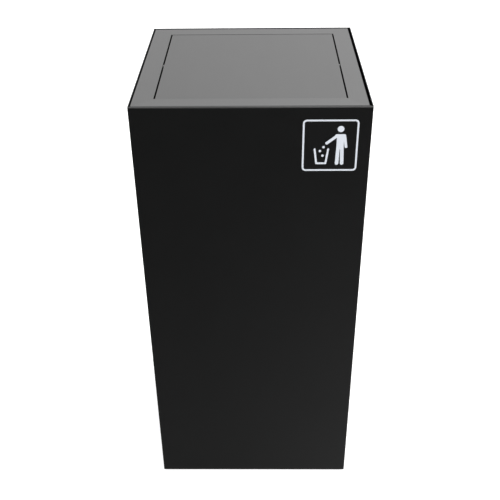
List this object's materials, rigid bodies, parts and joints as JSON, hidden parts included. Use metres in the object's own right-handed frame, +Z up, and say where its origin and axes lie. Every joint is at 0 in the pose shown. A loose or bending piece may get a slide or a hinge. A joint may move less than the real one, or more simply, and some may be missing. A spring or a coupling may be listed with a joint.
{
  "type": "swing flap litter bin",
  "caption": "Square upright steel litter bin with a centre-pivoted swing flap flush in a lift-off top, a lift-out liner and rubber feet.",
  "frame": {"origin": "on the floor, under the middle of the casing", "axes": "+Z up, -Y out of the front face with the litter sign, +X to the right of that face"},
  "size_m": [0.35, 0.3517, 0.76],
  "materials": {
    "casing_paint": "black fine-texture powder coat, satin",
    "top_paint": "black powder coat, satin",
    "flap_paint": "black powder coat, satin",
    "bracket_paint": "black powder coat, satin",
    "sign_film": "white vinyl film",
    "rubber": "moulded matt rubber",
    "bush_nylon": "natural nylon",
    "grip_plastic": "moulded matt",
    "galvanised_sheet": "galvanised, fine spangle",
    "handle_wire": "zinc-plated wire",
    "black_fitting": "black painted",
    "plain_rivet": "plain",
    "weight_steel": "bright drawn bar",
    "zinc_hardware": "zinc-plated"
  },
  "bodies": {
    "casing": {"base_pan": "galvanised_sheet", "base_runner_left": "galvanised_sheet", "base_runner_right": "galvanised_sheet", "casing_wrap": "casing_paint", "foot_nuts": "zinc_hardware", "foot_screws": "zinc_hardware", "lid_buffers": "rubber", "lid_ledge_left_front": "bracket_paint", "lid_ledge_left_rear": "bracket_paint", "lid_ledge_right_front": "bracket_paint", "lid_ledge_right_rear": "bracket_paint", "rear_panel": "casing_paint", "rear_rivets": "black_fitting", "rubber_foot_front_left": "rubber", "rubber_foot_front_right": "rubber", "rubber_foot_rear_left": "rubber", "rubber_foot_rear_right": "rubber", "sign_figure": "sign_film", "sign_frame": "sign_film"},
    "lid": {"pivot_bracket_left": "bracket_paint", "pivot_bracket_right": "bracket_paint", "pivot_bush_left": "bush_nylon", "pivot_bush_right": "bush_nylon", "top_bar_front": "top_paint", "top_bar_left": "top_paint", "top_bar_rear": "top_paint", "top_bar_right": "top_paint", "flap_stop": "bracket_paint", "flap_bumpers": "rubber"},
    "flap": {"flap_panel": "flap_paint", "flap_stiffener_front": "bracket_paint", "flap_stiffener_rear": "bracket_paint", "pivot_lug_left": "bracket_paint", "pivot_lug_right": "bracket_paint", "pivot_pin_left": "zinc_hardware", "pivot_pin_right": "zinc_hardware", "pivot_washers": "black_fitting", "pin_clips": "zinc_hardware", "weight_hanger": "bracket_paint", "counterweight": "weight_steel", "weight_screws": "zinc_hardware"},
    "liner": {"handle_plate_left": "galvanised_sheet", "handle_plate_right": "galvanised_sheet", "handle_rivets": "plain_rivet", "liner_floor": "galvanised_sheet", "liner_rim_front": "galvanised_sheet", "liner_rim_left": "galvanised_sheet", "liner_rim_rear": "galvanised_sheet", "liner_rim_right": "galvanised_sheet", "liner_wall_front": "galvanised_sheet", "liner_wall_left": "galvanised_sheet", "liner_wall_rear": "galvanised_sheet", "liner_wall_right": "galvanised_sheet"},
    "bail_left": {"bail_left": "handle_wire", "bail_grip_left": "grip_plastic"},
    "bail_right": {"bail_right": "handle_wire", "bail_grip_right": "grip_plastic"}
  },
  "joints": [
    {"name": "liner_lift", "type": "slide", "parent": "casing", "child": "liner", "axis": [0, 0, 1], "range_m": [0, 0.76]},
    {"name": "lid_lift", "type": "slide", "parent": "casing", "child": "lid", "axis": [0, 0, 1], "range_m": [0, 0.95]},
    {"name": "flap_swing", "type": "hinge", "parent": "lid", "child": "flap", "pos_m": [0.00045, -0.0056, 0.7506], "axis": [1, 0, 0], "range_deg": [0, 80]},
    {"name": "bail_left_swing", "type": "hinge", "parent": "liner", "child": "bail_left", "pos_m": [-0.143, 0, 0.556], "axis": [0, -1, 0], "range_deg": [0, 170]},
    {"name": "bail_right_swing", "type": "hinge", "parent": "liner", "child": "bail_right", "pos_m": [0.143, 0, 0.556], "axis": [0, 1, 0], "range_deg": [0, 170]}
  ],
  "couplings": [
    {"joint": "lid_lift", "follows": "liner_lift", "ratio": 1.25}
  ]
}
